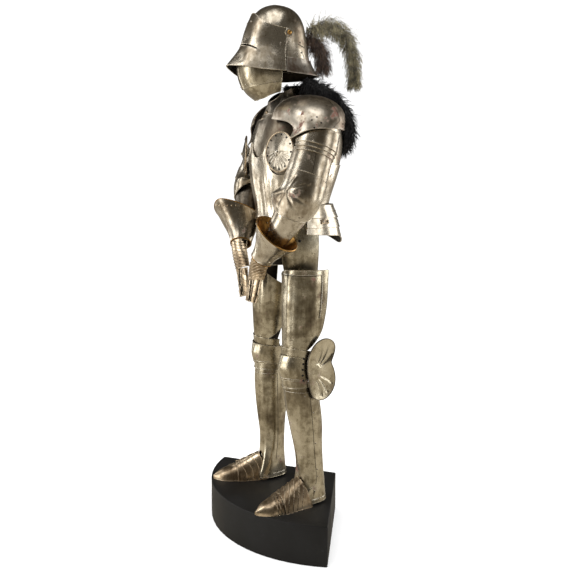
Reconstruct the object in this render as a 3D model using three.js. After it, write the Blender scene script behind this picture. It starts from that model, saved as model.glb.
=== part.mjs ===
// A full suit of late-gothic plate armour, standing with its head bowed on a black sector plinth.
// Millimetres, +Z up, the wearer faces -Y and its left is +X.
// The origin is on the underside of the plinth, under the middle of the stance.
import * as THREE from "three";

// ---- driving sizes, mm ----
const PLINTH_HEIGHT = 148;
const PLINTH_RADIUS = 506; // straight sides, and the radius of the curved front
const PLINTH_APEX_Y = 296; // back corner, where the two straight sides meet
const PLINTH_HALF_ANGLE = 52.4; // degrees either side of the middle
const PLINTH_CHAMFER = 2;
const WALL = 2; // steel plate
const LAP = 3; // one lapped plate to the next: a wall and 1 mm of play
const STEP = 22.5; // degrees between the columns of a limb's plates
const TRUNK_STEP = 15; // degrees between the columns of the trunk's plates
const PIVOT_Y = 22; // the visor turns on two side rivets
const PIVOT_Z = 1690;
const BESAGEW_RADIUS = 69;
const FUR_DEPTH = 26;
const TRUNK_TURN = -10.8; // degrees: the trunk is turned to the wearer's right over the hips
const HEAD_TURN = -8;

const rad = THREE.MathUtils.degToRad;
const V = (x, y, z) => new THREE.Vector3(x, y, z);

// ---- finishes ----
const finish = {
  steel: { color: 0xa59f92, roughness: 0.38, metalness: 0.9 },
  dark_steel: { color: 0x6e675d, roughness: 0.45, metalness: 0.85 },
  bronzed_steel: { color: 0x8a745a, roughness: 0.45, metalness: 0.85 },
  rusted_steel: { color: 0x7a5a45, roughness: 0.7, metalness: 0.6 },
  brass: { color: 0xb08a4a, roughness: 0.4, metalness: 0.9 },
  fur: { color: 0x17151a, roughness: 1, metalness: 0 },
  feather: { color: 0x6b6446, roughness: 1, metalness: 0 },
  brown_feather: { color: 0x45382c, roughness: 1, metalness: 0 },
  black_paint: { color: 0x222225, roughness: 0.7, metalness: 0 },
};

// ---- tables ----

// A table of sections: named columns, and rows in rising order of the first one.
function table(columns, rows) {
  return rows.map((row) => Object.fromEntries(columns.map((name, i) => [name, row[i]])));
}

// A column's value at any place between the rows: a cubic that never overshoots them.
function between(rows, key, at) {
  const last = rows.length - 1;
  const first = Object.keys(rows[0])[0];
  const rise = (i) => (rows[i + 1][key] - rows[i][key]) / (rows[i + 1][first] - rows[i][first]);
  if (at <= rows[0][first]) return rows[0][key] + rise(0) * (at - rows[0][first]);
  if (at >= rows[last][first]) return rows[last][key] + rise(last - 1) * (at - rows[last][first]);
  let i = 0;
  while (at > rows[i + 1][first]) i += 1;
  const tangent = (j) => {
    if (j === 0) return rise(0);
    if (j === last) return rise(last - 1);
    const a = rise(j - 1);
    const b = rise(j);
    return a * b <= 0 ? 0 : (2 * a * b) / (a + b);
  };
  const span = rows[i + 1][first] - rows[i][first];
  const t = (at - rows[i][first]) / span;
  const h00 = 2 * t * t * t - 3 * t * t + 1;
  const h10 = t * t * t - 2 * t * t + t;
  const h01 = 3 * t * t - 2 * t * t * t;
  const h11 = t * t * t - t * t;
  return h00 * rows[i][key] + h10 * span * tangent(i) + h01 * rows[i + 1][key] + h11 * span * tangent(i + 1);
}

// Straight lines between pairs of [angle, height], for the edge of a plate.
function edge(...pairs) {
  return (angle) => {
    if (angle <= pairs[0][0]) return pairs[0][1];
    for (let i = 1; i < pairs.length; i += 1) {
      const [a0, v0] = pairs[i - 1];
      const [a1, v1] = pairs[i];
      if (angle <= a1) return v0 + ((v1 - v0) * (angle - a0)) / (a1 - a0);
    }
    return pairs[pairs.length - 1][1];
  };
}

const evenEdge = (...pairs) => (angle) => edge(...pairs)(Math.abs(angle));

// The same for an edge across the back: angles run from the front, or a side, to 180 and back.
function backEdge(...pairs) {
  const half = edge(...pairs);
  return (angle) => half(180 - Math.abs(180 - angle));
}
const bell = (value, middle, width) => Math.exp(-(((value - middle) / width) ** 2));

// ---- skins: the surface a set of lapped plates is shaped on ----

// Sections lie level: the trunk and the helmet.
const level = () => ({ up: V(0, 0, 1), front: V(0, -1, 0) });

// Sections lie across the line of their centres, and the front of each looks the given way.
const along = (rows, ahead) => (at) => {
  const centre = (a) => V(between(rows, "x", a), between(rows, "y", a), between(rows, "z", a));
  const up = centre(at + 4).sub(centre(at - 4)).normalize();
  const front = ahead.clone().addScaledVector(up, -ahead.dot(up)).normalize();
  return { up, front };
};

// Sections turn from upright at the neck to level round the arm: a pauldron.
const over = (rows, side) => (at) => {
  const turn = rad(between(rows, "turn", at));
  return {
    up: V(side * Math.cos(turn), 0, -Math.sin(turn)),
    front: V(side * Math.sin(turn), 0, Math.cos(turn)),
  };
};

// skin(at, angle, out): the point at an angle round a section, moved out from the surface.
// Angle 0 is the front, 90 the outer side of a limb (the wearer's left on the trunk), 180 the back.
function skin(rows, frame, hand = 1) {
  const has = (key) => key in rows[0];
  const raw = (at, angle) => {
    const { up, front } = frame(at);
    const side = up.clone().cross(front).multiplyScalar(hand);
    const s = Math.sin(rad(angle));
    const c = Math.cos(rad(angle));
    const wide = between(rows, s < 0 && has("inner") ? "inner" : "outer", at);
    const deep = between(rows, c < 0 ? "back" : "front", at);
    const keel = has("keel") ? between(rows, "keel", at) * Math.max(0, 1 - Math.abs(angle) / 50) ** 2 : 0;
    const centre = V(
      has("x") ? between(rows, "x", at) : 0,
      has("y") ? between(rows, "y", at) : 0,
      has("z") ? between(rows, "z", at) : at,
    );
    return centre.addScaledVector(side, wide * s).addScaledVector(front, deep * c + keel);
  };
  return (at, angle, out = 0) => {
    const place = raw(at, angle);
    if (out === 0) return place;
    const round = raw(at, angle + 1).sub(raw(at, angle - 1));
    const rise = raw(at + 0.5, angle).sub(raw(at - 0.5, angle));
    const normal = round.cross(rise).multiplyScalar(hand).normalize();
    return place.addScaledVector(normal, out);
  };
}

// ---- solids ----

// Points that meet become one vertex, so a ring can close to a point.
function welder() {
  const points = [];
  const seen = new Map();
  const id = (p) => {
    const key = [p.x, p.y, p.z].map((v) => Math.round(v * 200)).join();
    if (!seen.has(key)) {
      seen.set(key, points.length);
      points.push(p);
    }
    return seen.get(key);
  };
  return { points, id };
}

// Triangles to a geometry that faces outward.
function geometryOf(points, triangles) {
  const kept = triangles.filter(([a, b, c]) => a !== b && b !== c && c !== a);
  let volume = 0;
  for (const [a, b, c] of kept) volume += points[a].dot(points[b].clone().cross(points[c]));
  const index = kept.flatMap(([a, b, c]) => (volume < 0 ? [a, c, b] : [a, b, c]));
  const geometry = new THREE.BufferGeometry();
  geometry.setAttribute("position", new THREE.Float32BufferAttribute(points.flatMap((p) => p.toArray()), 3));
  geometry.setIndex(index);
  geometry.computeVertexNormals();
  return geometry;
}

// A sheet between two matching grids of points, closed all round its edges and round any opening.
function sheet(outer, inner, { wrap = false, open = () => false } = {}) {
  const { points, id } = welder();
  const across = outer[0].length;
  const triangles = [];
  const edges = new Map();
  for (let r = 0; r < outer.length - 1; r += 1) {
    for (let c = 0; c < (wrap ? across : across - 1); c += 1) {
      if (open(r, c)) continue;
      const d = (c + 1) % across;
      const cells = [[r, c], [r, d], [r + 1, d], [r + 1, c]];
      const face = [];
      for (const [i, j] of cells) {
        const pair = [id(outer[i][j]), id(inner[i][j])];
        if (!face.some(([o]) => o === pair[0])) face.push(pair);
      }
      for (let k = 1; k < face.length - 1; k += 1) {
        triangles.push([face[0][0], face[k][0], face[k + 1][0]]);
        triangles.push([face[0][1], face[k + 1][1], face[k][1]]);
      }
      face.forEach((from, k) => {
        const to = face[(k + 1) % face.length];
        edges.set(`${from[0]}>${to[0]}`, [from, to]);
      });
    }
  }
  for (const [from, to] of edges.values()) {
    if (edges.has(`${to[0]}>${from[0]}`)) continue;
    triangles.push([to[0], from[0], from[1]]);
    triangles.push([to[0], from[1], to[1]]);
  }
  return geometryOf(points, triangles);
}

// A solid through rings of points; the first and last ring close on their middle.
function loft(rings) {
  const { points, id } = welder();
  const triangles = [];
  const around = rings[0].length;
  for (let r = 0; r < rings.length - 1; r += 1) {
    for (let c = 0; c < around; c += 1) {
      const d = (c + 1) % around;
      const a = id(rings[r][c]);
      const b = id(rings[r][d]);
      const e = id(rings[r + 1][d]);
      const f = id(rings[r + 1][c]);
      triangles.push([a, b, e], [a, e, f]);
    }
  }
  for (const [ring, flip] of [[rings[0], true], [rings[rings.length - 1], false]]) {
    const middle = ring.reduce((sum, p) => sum.add(p), V(0, 0, 0)).divideScalar(around);
    const m = id(middle);
    for (let c = 0; c < around; c += 1) {
      const a = id(ring[c]);
      const b = id(ring[(c + 1) % around]);
      if (a !== m && b !== m) triangles.push(flip ? [m, b, a] : [m, a, b]);
    }
  }
  return geometryOf(points, triangles);
}

// The grids of one plate: a patch of a skin between two angles and two edges.
function plate(on, { from, to, low, high, rows, step = STEP, lift = 0, wall = WALL, bulge = () => 0, open }) {
  const lower = typeof low === "number" ? () => low : low;
  const upper = typeof high === "number" ? () => high : high;
  const wrap = Math.abs(to - from - 360) < 1e-6;
  const angles = [from];
  for (let a = Math.floor(from / step + 1) * step; a < to - 1e-6; a += step) angles.push(a);
  if (!wrap) angles.push(to);
  const outer = [];
  const inner = [];
  const shares = Array.isArray(rows) ? rows : Array.from({ length: rows + 1 }, (_, r) => r / rows);
  for (const share of shares) {
    const outerRow = [];
    const innerRow = [];
    for (const angle of angles) {
      const at = lower(angle) + (upper(angle) - lower(angle)) * share;
      const off = lift + bulge(at, angle);
      outerRow.push(on(at, angle, off + wall));
      innerRow.push(on(at, angle, off));
    }
    outer.push(outerRow);
    inner.push(innerRow);
  }
  const opening = open ? (r, c) => open(r, (angles[c] + angles[(c + 1) % angles.length]) / 2) : undefined;
  return sheet(outer, inner, { wrap, open: opening });
}

// ---- the tree ----
const suit = new THREE.Group();
suit.name = "suit_of_armour";
const figure = new THREE.Group(); // everything that stands on the plinth's top face
figure.name = "figure";
figure.position.z = PLINTH_HEIGHT;
suit.add(figure);

// A group at a joint of the figure; its meshes are measured from there.
function region(name, x, y, z) {
  const group = new THREE.Group();
  group.name = name;
  group.position.set(x, y, z);
  figure.add(group);
  return group;
}

// Adds a piece, given in the figure's own place, to a region.
function add(group, name, geometry, look) {
  const mesh = new THREE.Mesh(geometry, new THREE.MeshStandardMaterial(finish[look]));
  mesh.name = name;
  geometry.translate(-group.position.x, -group.position.y, -group.position.z);
  group.add(mesh);
  return mesh;
}

// ==== plinth ====
const plinth = new THREE.Group();
plinth.name = "plinth_stand";
suit.add(plinth);
const outline = (inset) => {
  const points = [];
  const half = rad(PLINTH_HALF_ANGLE);
  const reach = PLINTH_RADIUS - inset;
  const back = inset / Math.sin(half);
  points.push([0, PLINTH_APEX_Y - back]);
  const trim = Math.asin(inset / reach);
  for (let i = 0; i <= 20; i += 1) {
    const a = -half + trim + ((2 * half - 2 * trim) * i) / 20;
    points.push([reach * Math.sin(a), PLINTH_APEX_Y - reach * Math.cos(a)]);
  }
  return points;
};
const plinthRing = (inset, z) => outline(inset).map(([x, y]) => V(x, y, z));
add(
  plinth,
  "plinth",
  loft([
    plinthRing(PLINTH_CHAMFER, 0),
    plinthRing(0, PLINTH_CHAMFER),
    plinthRing(0, PLINTH_HEIGHT - PLINTH_CHAMFER),
    plinthRing(PLINTH_CHAMFER, PLINTH_HEIGHT),
  ]),
  "black_paint",
);

// ==== trunk: breast, back, faulds and culet ====
const trunk = region("trunk", 0, 98, 1070);
trunk.rotation.z = rad(TRUNK_TURN);
const trunkRows = table(
  ["at", "y", "outer", "front", "back"],
  [
    [1036, 90, 154, 134, 124],
    [1065, 91, 146, 131, 118],
    [1120, 93, 160, 143, 130],
    [1200, 98, 178, 162, 152],
    [1290, 102, 186, 170, 170],
    [1370, 104, 182, 154, 168],
    [1430, 100, 165, 120, 142],
    [1465, 95, 140, 86, 112],
  ],
);
const chest = skin(trunkRows, level);

// Neck line in the middle, shoulders either side, arm holes cut low at the sides.
const breastTop = evenEdge([0, 1396], [15, 1400], [30, 1416], [45, 1432], [60, 1420], [75, 1352], [89, 1306]);
// The plackart rises in a cusp in the middle and one either side, with shallow lobes between
// and a deep lobe outside them under each arm pit.
const plackartTop = evenEdge(
  [0, 1320], [4, 1294], [8, 1270], [15, 1257], [24, 1264], [28, 1284], [30, 1303],
  [32, 1256], [36, 1214], [45, 1194], [52, 1190], [60, 1200], [75, 1236], [89, 1262],
);

add(trunk, "breastplate_upper", plate(chest, {
  from: -89, to: 89, low: 1170, high: breastTop, rows: 7, step: TRUNK_STEP,
}), "steel");
add(trunk, "breastplate_plackart", (() => {
  const half = [4, 8, 15, 24, 28, 30, 32, 36, 45, 60, 75, 89];
  const angles = [...half.map((a) => -a).reverse(), 0, ...half];
  const grid = (out) => {
    const rows = [];
    for (let r = 0; r <= 6; r += 1) {
      rows.push(angles.map((angle) => chest(1038 + ((plackartTop(angle) - 1038) * r) / 6, angle, out)));
    }
    return rows;
  };
  return sheet(grid(LAP + 1 + WALL), grid(LAP + 1));
})(), "steel");
const backTop = backEdge([91, 1306], [105, 1352], [120, 1420], [135, 1450], [150, 1455], [180, 1458]);
add(trunk, "backplate_upper", plate(chest, {
  from: 91, to: 269, low: 1200, high: backTop, rows: 5, step: TRUNK_STEP,
}), "steel");
add(trunk, "backplate_lower", plate(chest, {
  from: 91, to: 269, low: 1054, high: 1236, rows: 4, step: TRUNK_STEP, lift: LAP,
}), "steel");

// The skirt starts at the waist flange and spreads over the hips; each lame hangs inside the one above.
const skirtRows = table(
  ["at", "y", "outer", "front", "back"],
  [
    [844, 76, 152, 84, 214],
    [880, 76, 157, 94, 214],
    [940, 80, 162, 112, 204],
    [980, 83, 160, 124, 192],
    [1020, 87, 155, 126, 177],
    [1048, 90, 147, 126, 164],
    [1072, 91, 150, 130, 150],
    [1092, 92, 153, 136, 140],
  ],
);
const hips = skin(skirtRows, level);
const faulds = [
  ["fauld_1", 1002, 1046, LAP],
  ["fauld_2", 966, 1010, 0],
];
for (const [name, low, high, lift] of faulds) {
  add(trunk, name, plate(hips, { from: -45, to: 45, low, high, rows: 2, step: TRUNK_STEP, lift }), "steel");
}
// The last culet lame comes down to a point behind.
const culetPoint = backEdge([90, 986], [150, 976], [180, 938]);
const culets = [
  ["culet_1", 1042, 1090, 2 * LAP + 1],
  ["culet_2", 1008, 1050, LAP],
  ["culet_3", culetPoint, 1016, 0],
];
for (const [name, low, high, lift] of culets) {
  add(trunk, name, plate(hips, { from: 90, to: 270, low, high, rows: 2, step: TRUNK_STEP, lift }), "steel");
}
for (const [name, hand] of [["hip_plate_left", 1], ["hip_plate_right", -1]]) {
  const hip = skin(skirtRows, level, hand);
  const low = edge([45, 856], [60, 850], [105, 848]);
  add(trunk, name, plate(hip, {
    from: 45, to: 105, low, high: 1034, rows: 4, step: TRUNK_STEP, lift: -LAP,
  }), "steel");
}

// ==== gorget ====
const gorgetRows = table(
  ["at", "y", "outer", "front", "back"],
  [
    [1368, 101, 172, 141, 156],
    [1395, 99, 166, 132, 149],
    [1420, 95, 150, 116, 132],
    [1445, 82, 112, 92, 108],
    [1468, 68, 84, 72, 84],
    [1490, 62, 70, 66, 70],
    [1524, 60, 66, 64, 66],
  ],
);
const neck = region("neck", 0, 98, 1440);
neck.rotation.z = rad(TRUNK_TURN);
const collar = skin(gorgetRows, level);
add(neck, "gorget_front", plate(collar, {
  from: -89, to: 89, low: evenEdge([0, 1372], [45, 1396], [60, 1408], [89, 1424]),
  high: evenEdge([0, 1462], [30, 1470], [60, 1492], [89, 1508]), rows: 5, step: TRUNK_STEP, lift: -LAP,
}), "rusted_steel");
add(neck, "gorget_back", plate(collar, {
  from: 91, to: 269, low: backEdge([91, 1424], [120, 1400], [180, 1390]),
  high: backEdge([91, 1508], [180, 1520]), rows: 5, step: TRUNK_STEP, lift: -LAP,
}), "steel");

// ==== helmet: sallet with a pivoting visor, and the bevor under it ====
const helmet = region("helmet", 0, PIVOT_Y, PIVOT_Z);
helmet.rotation.z = rad(HEAD_TURN);
const skullRows = table(
  ["at", "y", "outer", "front", "back", "keel"],
  [
    [1540, -2, 132, 140, 188, 0],
    [1575, 0, 120, 130, 158, 0],
    [1610, 4, 112, 122, 136, 0],
    [1650, 10, 104, 117, 124, 0],
    [1713, 17, 100, 107, 105, 0],
    [1750, 21, 87, 93, 92, 0],
    [1778, 21, 66, 72, 72, 0],
    [1796, 21, 38, 42, 43, 0],
    [1804, 21, 0.01, 0.01, 0.01, 0],
  ],
);
const dome = skin(skullRows, level);
const skullAngles = Array.from({ length: 360 / TRUNK_STEP }, (_, i) => i * TRUNK_STEP);
const skullEdge = backEdge([0, 1742], [30, 1736], [60, 1700], [75, 1640], [90, 1594], [135, 1584], [180, 1590]);
add(helmet, "helmet_skull", (() => {
  const grid = (out) => {
    const rows = [];
    for (const part of [0, 0.07, 0.18, 0.33, 0.5, 0.68, 0.83, 0.94, 1]) {
      rows.push(skullAngles.map((angle) => {
        if (part === 1) return V(0, 21, 1804 + out);
        return dome(skullEdge(angle) + (1804 - skullEdge(angle)) * part, angle, out);
      }));
    }
    return rows;
  };
  return sheet(grid(WALL), grid(0), { wrap: true });
})(), "steel");
add(helmet, "helmet_tail", plate(dome, {
  from: 93, to: 267, low: backEdge([93, 1553], [105, 1550], [150, 1552], [180, 1556]),
  high: 1604, rows: 4, step: TRUNK_STEP, lift: LAP + 1,
}), "rusted_steel");

const visorRows = table(
  ["at", "y", "outer", "front", "back", "keel"],
  [
    [1560, 0, 134, 158, 160, 34],
    [1590, 2, 126, 146, 150, 26],
    [1620, 4, 118, 132, 140, 12],
    [1650, 10, 112, 124, 130, 4],
    [1713, 17, 108, 114, 113, 0],
    [1750, 21, 97, 102, 99, 0],
    [1778, 21, 79, 84, 82, 0],
  ],
);
const face = skin(visorRows, level);
const visor = add(helmet, "helmet_visor", plate(face, {
  from: -90, to: 90,
  low: evenEdge([0, 1584], [30, 1576], [60, 1560], [90, 1556]),
  high: evenEdge([0, 1768], [15, 1764], [30, 1748], [45, 1728], [60, 1716], [75, 1708], [90, 1704]),
  rows: [0, 0.13, 0.26, 0.38, 0.42, 0.55, 0.68, 0.83, 1],
  step: TRUNK_STEP,
  open: (r, angle) => r === 3 && Math.abs(angle) < 45, // the eye slit
}), "steel");

const bevorRows = table(
  ["at", "y", "outer", "front", "back"],
  [
    [1466, 4, 62, 52, 60],
    [1474, 2, 74, 72, 66],
    [1490, 0, 86, 92, 70],
    [1523, -2, 98, 112, 74],
    [1560, -2, 102, 124, 76],
    [1600, 0, 100, 126, 78],
  ],
);
const chin = skin(bevorRows, level);
add(helmet, "bevor_face", plate(chin, {
  from: -90, to: 90, low: evenEdge([0, 1506], [45, 1512], [90, 1524]), high: 1596,
  rows: 3, step: TRUNK_STEP, lift: LAP,
}), "steel");
add(helmet, "bevor_chin", plate(chin, {
  from: -90, to: 90, low: evenEdge([0, 1468], [45, 1472], [90, 1492]), high: 1524, rows: 3, step: TRUNK_STEP,
}), "steel");

// ==== besagews: discs that hang over the arm pits ====
function besagew(side) {
  const centre = side > 0 ? V(175, -24, 1276) : V(-146, -50, 1282);
  const facing = V(side > 0 ? 0.4 : -0.24, -0.91, 0.06).normalize();
  const across = V(0, 0, 1).cross(facing).normalize();
  const up = facing.clone().cross(across);
  const ring = (out) => {
    const rows = [];
    for (const [part, dish] of [[0, 13], [0.35, 9], [0.7, 4.5], [1, 0]]) {
      const row = [];
      for (let a = 0; a < 360; a += 15) {
        row.push(centre.clone()
          .addScaledVector(across, BESAGEW_RADIUS * part * Math.sin(rad(a)))
          .addScaledVector(up, BESAGEW_RADIUS * part * Math.cos(rad(a)))
          .addScaledVector(facing, dish + out));
      }
      rows.push(row);
    }
    return rows;
  };
  return sheet(ring(WALL), ring(0), { wrap: true });
}
add(trunk, "besagew_left", besagew(1), "steel");
add(trunk, "besagew_right", besagew(-1), "steel");

// ==== arms ====
const pauldronRows = table(
  ["at", "x", "y", "z", "turn", "outer", "inner", "front", "back"],
  [
    [0, 108, 98, 1394, 0, 124, 140, 84, 40],
    [35, 156, 98, 1388, 25, 118, 128, 88, 40],
    [70, 210, 97, 1380, 60, 101, 102, 84, 60],
    [110, 244, 93, 1350, 92, 84, 84, 84, 84],
    [150, 247, 80, 1312, 92, 90, 88, 88, 88],
  ],
);
const armColumns = ["at", "x", "y", "z", "outer", "inner", "front", "back"];
const armRows = {
  left: table(armColumns, [
    [-170, 58, -120, 744, 13, 13, 34, 34],
    [-75, 64, -104, 838, 20, 20, 43, 43],
    [-20, 88, -102, 887, 28, 28, 37, 37],
    [0, 102, -99, 906, 34, 34, 36, 36],
    [80, 150, -79, 968, 42, 42, 42, 42],
    [140, 184, -65, 1014, 49, 49, 49, 49],
    [200, 215, -50, 1060, 57, 57, 57, 57],
    [264, 239, -29, 1114, 65, 65, 65, 65],
    [330, 246, -9, 1176, 71, 71, 71, 71],
    [430, 244, 23, 1270, 69, 69, 69, 69],
    [500, 241, 45, 1334, 65, 65, 65, 65],
    [540, 239, 58, 1370, 60, 60, 60, 60],
    [572, 237, 70, 1400, 50, 50, 50, 50],
  ]),
  right: table(armColumns, [
    [-200, -50, -88, 752, 13, 13, 34, 34],
    [-100, -70, -84, 850, 20, 20, 43, 43],
    [-40, -108, -76, 908, 28, 28, 37, 37],
    [0, -134, -62, 946, 34, 34, 36, 36],
    [80, -171, -28, 1011, 40, 40, 40, 40],
    [140, -197, -4, 1060, 46, 46, 46, 46],
    [200, -222, 20, 1109, 55, 55, 55, 55],
    [264, -244, 48, 1162, 64, 64, 64, 64],
    [330, -247, 75, 1220, 70, 70, 70, 70],
    [430, -243, 117, 1309, 69, 69, 69, 69],
    [480, -240, 137, 1352, 65, 65, 65, 65],
    [510, -237, 149, 1379, 60, 60, 60, 60],
    [538, -233, 161, 1405, 50, 50, 50, 50],
  ]),
};
const cuffRows = {
  left: table(["at", "outer", "inner", "front", "back"], [
    [-6, 38, 38, 40, 40],
    [20, 42, 42, 44, 44],
    [60, 60, 58, 62, 60],
    [100, 82, 78, 84, 80],
    [125, 94, 90, 96, 90],
  ]),
  right: table(["at", "outer", "inner", "front", "back"], [
    [-6, 38, 38, 40, 40],
    [20, 46, 42, 46, 46],
    [60, 76, 48, 52, 68],
    [100, 110, 56, 60, 92],
    [130, 138, 60, 66, 108],
  ]),
};

for (const [name, hand] of [["left", 1], ["right", -1]]) {
  const rows = armRows[name];
  const elbow = rows[7];
  const arm = region(`arm_${name}`, elbow.x, elbow.y, elbow.z);
  const crook = V(-hand, 0, 0); // the inside of the elbow faces the other arm
  const frame = along(rows, crook);
  const limb = skin(rows, frame, hand);

  const shoulderRows = pauldronRows.map((row) => ({ ...row, x: hand * row.x }));
  const shoulder = skin(shoulderRows, over(shoulderRows, hand), hand);
  add(trunk, `pauldron_${name}`, plate(shoulder, {
    from: -90, to: 90, low: 0, high: edge([36, 110], [90, 146]), rows: 7, lift: LAP,
  }), "steel");

  const top = name === "left" ? -20 : -82; // the right arm is raised, so its shoulder end is shorter
  const lameTop = name === "left" ? edge([90, 514], [270, 536])
    : edge([90, 482], [150, 490], [210, 528], [270, 540]);
  const lames = [
    ["upper_lame", 466 + top, (a) => lameTop(a) + top, 3 * LAP, 3],
    ["middle_lame", 452 + top, 478 + top, 2 * LAP, 2],
    ["lower_lame", 438 + top, 464 + top, LAP, 2],
  ];
  for (const [piece, low, high, lift, count] of lames) {
    const lame = plate(limb, { from: 90, to: 270, low, high, rows: count, lift });
    add(arm, `arm_${piece}_${name}`, lame, "steel");
  }
  add(arm, `upper_cannon_${name}`, plate(limb, {
    from: 67.5, to: 270, low: 314, high: 450 + top, rows: 4, lift: 0,
  }), "steel");
  // The couter cups the elbow and throws a fluted wing forward over the crook.
  add(arm, `couter_${name}`, plate(limb, {
    from: 22.5, to: 270,
    low: edge([18, 244], [54, 212], [90, 196], [126, 198], [180, 208], [270, 240]),
    high: edge([18, 296], [54, 330], [90, 344], [126, 346], [180, 344], [270, 318]),
    rows: 6, lift: LAP,
    bulge: (at, angle) => 16 * bell(at, 264, 44) * bell(angle, 180, 60)
      + 40 * bell(at, 240, 34) * bell(angle, 54, 34),
  }), "steel");
  add(arm, `lower_cannon_${name}`, plate(limb, {
    from: 0, to: 360, low: 60, high: edge([0, 214], [90, 236], [180, 250], [270, 236], [360, 214]), rows: 3,
  }), name === "left" ? "steel" : "dark_steel");

  const cuffTable = cuffRows[name].map((row) => ({
    ...row, x: between(rows, "x", row.at), y: between(rows, "y", row.at), z: between(rows, "z", row.at),
  }));
  const cuff = skin(cuffTable, frame, hand);
  const mouth = name === "left" ? edge([0, 116], [90, 120], [180, 104], [270, 104], [360, 116])
    : edge([0, 118], [90, 130], [180, 122], [270, 108], [360, 118]);
  add(arm, `gauntlet_cuff_${name}`, plate(cuff, { from: 0, to: 360, low: -4, high: mouth, rows: 4 }), "steel");
  const handScale = name === "left" ? 1 : 1.2;
  add(arm, `gauntlet_hand_${name}`, plate(limb, {
    from: 0, to: 202.5, low: -82 * handScale, high: -8, rows: 3,
  }), "bronzed_steel");
  add(arm, `gauntlet_fingers_${name}`, plate(limb, {
    from: 22.5, to: 180, low: -168 * handScale, high: -86 * handScale, rows: 3,
  }), "bronzed_steel");
}

// ==== legs ====
const legColumns = ["at", "x", "y", "z", "outer", "inner", "front", "back"];
const legRows = {
  left: table(legColumns, [
    [10, 180, 54, 10, 46, 46, 42, 64],
    [60, 180, 54, 60, 46, 46, 44, 58],
    [110, 178, 56, 110, 47, 45, 44, 52],
    [190, 170, 52, 190, 49, 47, 47, 54],
    [300, 159, 44, 300, 60, 56, 58, 68],
    [400, 150, 32, 400, 66, 62, 62, 68],
    [456, 147, 25, 456, 62, 60, 57, 62],
    [504, 145, 24, 504, 62, 60, 56, 62],
    [560, 142, 32, 560, 68, 66, 64, 66],
    [640, 138, 46, 640, 78, 74, 76, 74],
    [745, 132, 60, 745, 86, 82, 86, 84],
    [860, 128, 66, 860, 88, 84, 88, 86],
  ]),
  right: table(legColumns, [
    [10, -118, 60, 10, 46, 46, 42, 64],
    [60, -118, 60, 60, 46, 46, 44, 58],
    [110, -119, 62, 110, 47, 45, 44, 52],
    [190, -126, 66, 190, 49, 47, 47, 54],
    [300, -138, 69, 300, 60, 56, 58, 68],
    [400, -146, 71, 400, 66, 62, 62, 68],
    [456, -147, 71, 456, 62, 60, 57, 62],
    [504, -147, 70, 504, 62, 60, 56, 62],
    [560, -144, 72, 560, 68, 66, 64, 66],
    [640, -136, 76, 640, 78, 74, 76, 74],
    [745, -127, 80, 745, 86, 82, 86, 84],
    [860, -118, 84, 860, 88, 84, 88, 86],
  ]),
};
// A foot's arch over the sole, by the distance from the ankle towards the toe.
const footColumns = ["at", "outer", "front", "back"];
const footArch = table(footColumns, [
  [40, 46, 100, 1],
  [70, 47, 88, 1],
  [105, 49, 70, 1],
  [140, 49, 55, 1],
  [175, 45, 43, 1],
  [205, 34, 33, 1],
  [224, 18, 23, 1],
  [232, 4, 12, 1],
]);
const footAim = { left: 3, right: -20.7 }; // degrees: how far each foot points to the wearer's left
// Reach of the knee's wing from its middle, by the angle from straight back towards up.
const wingOutline = table(["at", "reach"], [
  [-20, 66], [0, 54], [20, 48], [35, 70], [52, 104], [68, 111], [85, 105], [110, 86], [133, 68], [180, 53],
  [215, 58], [236, 78], [253, 109], [275, 120], [300, 106], [325, 80], [340, 66], [360, 54], [380, 48],
]);

function kneeWing(side, x, y, z) {
  const grid = (out) => {
    const rows = [];
    for (const part of [0, 0.4, 0.75, 1]) {
      const row = [];
      for (let a = 0; a < 360; a += 12) {
        const r = part * between(wingOutline, "reach", a);
        const bow = 6 * (1 - part) * (1 - part) + 10 * part * part;
        row.push(V(x + side * (bow + out), y + r * Math.cos(rad(a)), z + r * Math.sin(rad(a))));
      }
      rows.push(row);
    }
    return rows;
  };
  return sheet(grid(WALL), grid(0), { wrap: true });
}

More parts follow.
